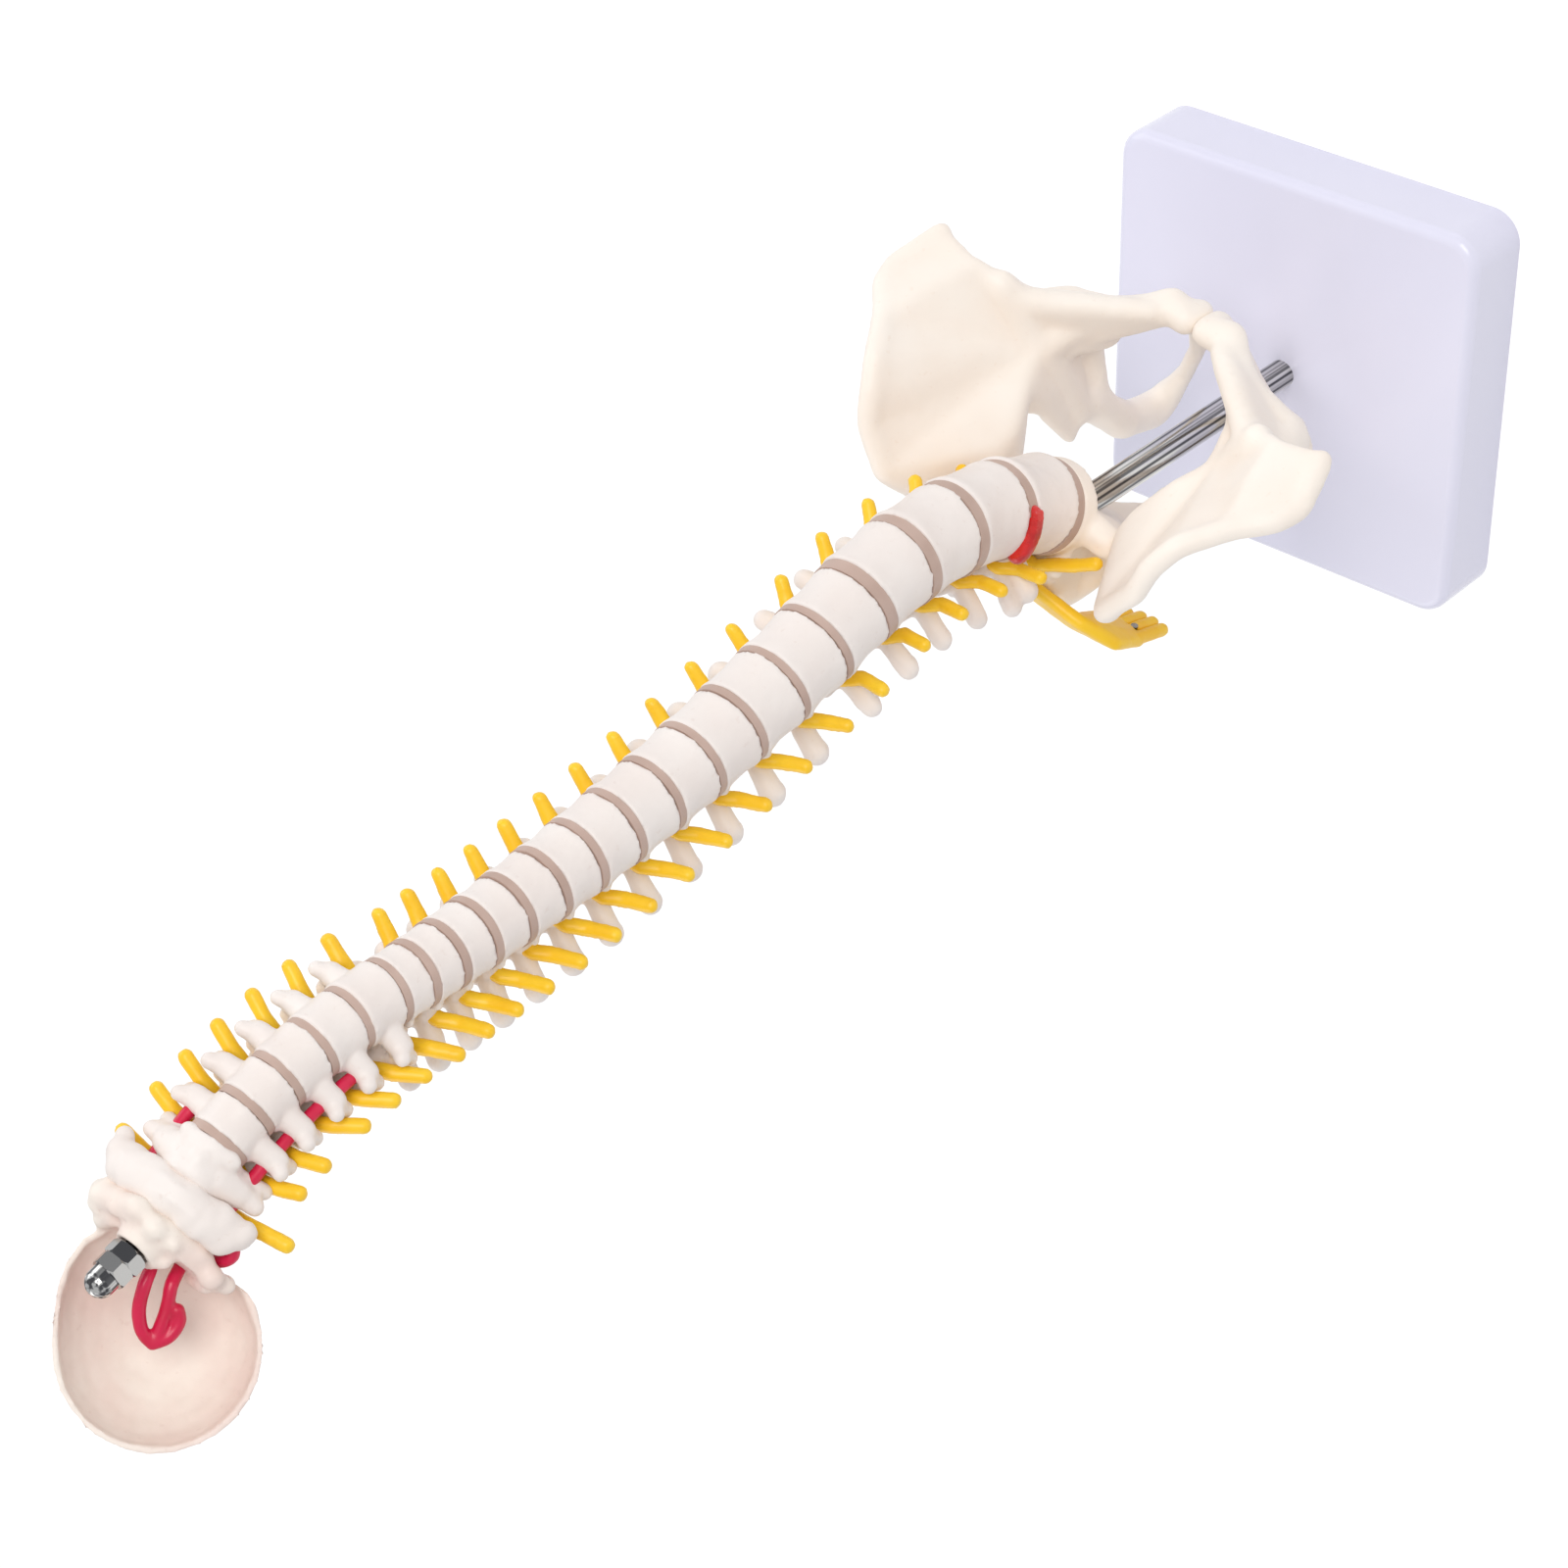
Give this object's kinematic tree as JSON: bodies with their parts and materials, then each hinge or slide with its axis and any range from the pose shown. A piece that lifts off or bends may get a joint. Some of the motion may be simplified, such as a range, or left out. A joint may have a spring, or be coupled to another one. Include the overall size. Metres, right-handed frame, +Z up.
{
  "type": "spine anatomy model with pelvis on a stand",
  "caption": "Flexible half life-size model of a spine with pelvis, discs, nerves, arteries and the back of the skull, upright on a chrome rod and a square base.",
  "frame": {"origin": "centre of the underside of the square base", "axes": "+Z up along the stand, the model faces -Y, its own left side is +X, the base's sides lie along X and Y"},
  "size_m": [0.1348, 0.1368, 0.4638],
  "materials": {
    "base": "gloss, white with a faint lilac tint",
    "steel": "polished",
    "pelvis_bone": "satin, warm cream",
    "bone": "satin, off-white",
    "disc": "satin, pinkish grey-brown",
    "nerve": "soft gloss, yellow",
    "artery": "soft gloss, crimson",
    "prolapse": "soft gloss, red"
  },
  "bodies": {
    "root": {"base_plate": "base", "base_washer": "steel", "base_bolt": "steel", "support_rod": "steel", "core_rod": "steel", "lock_nut": "steel", "cap_nut": "steel", "sacrum": "pelvis_bone", "hip_bone_left": "pelvis_bone", "hip_bone_right": "pelvis_bone", "l5": "bone", "l4": "bone", "l3": "bone", "l2": "bone", "l1": "bone", "t12": "bone", "t11": "bone", "t10": "bone", "t9": "bone", "t8": "bone", "t7": "bone", "t6": "bone", "t5": "bone", "t4": "bone", "t3": "bone", "t2": "bone", "t1": "bone", "c7": "bone", "c6": "bone", "c5": "bone", "c4": "bone", "c3": "bone", "axis_c2": "bone", "atlas_c1": "bone", "occipital_plate": "pelvis_bone", "lumbosacral_disc": "disc", "prolapsed_disc": "disc", "disc_prolapse": "prolapse", "lumbar_discs": "disc", "thoracic_discs": "disc", "neck_discs": "disc", "cord_and_nerves": "nerve", "cauda_equina": "nerve", "cauda_screw": "steel", "vertebral_arteries": "artery"}
  },
  "joints": []
}
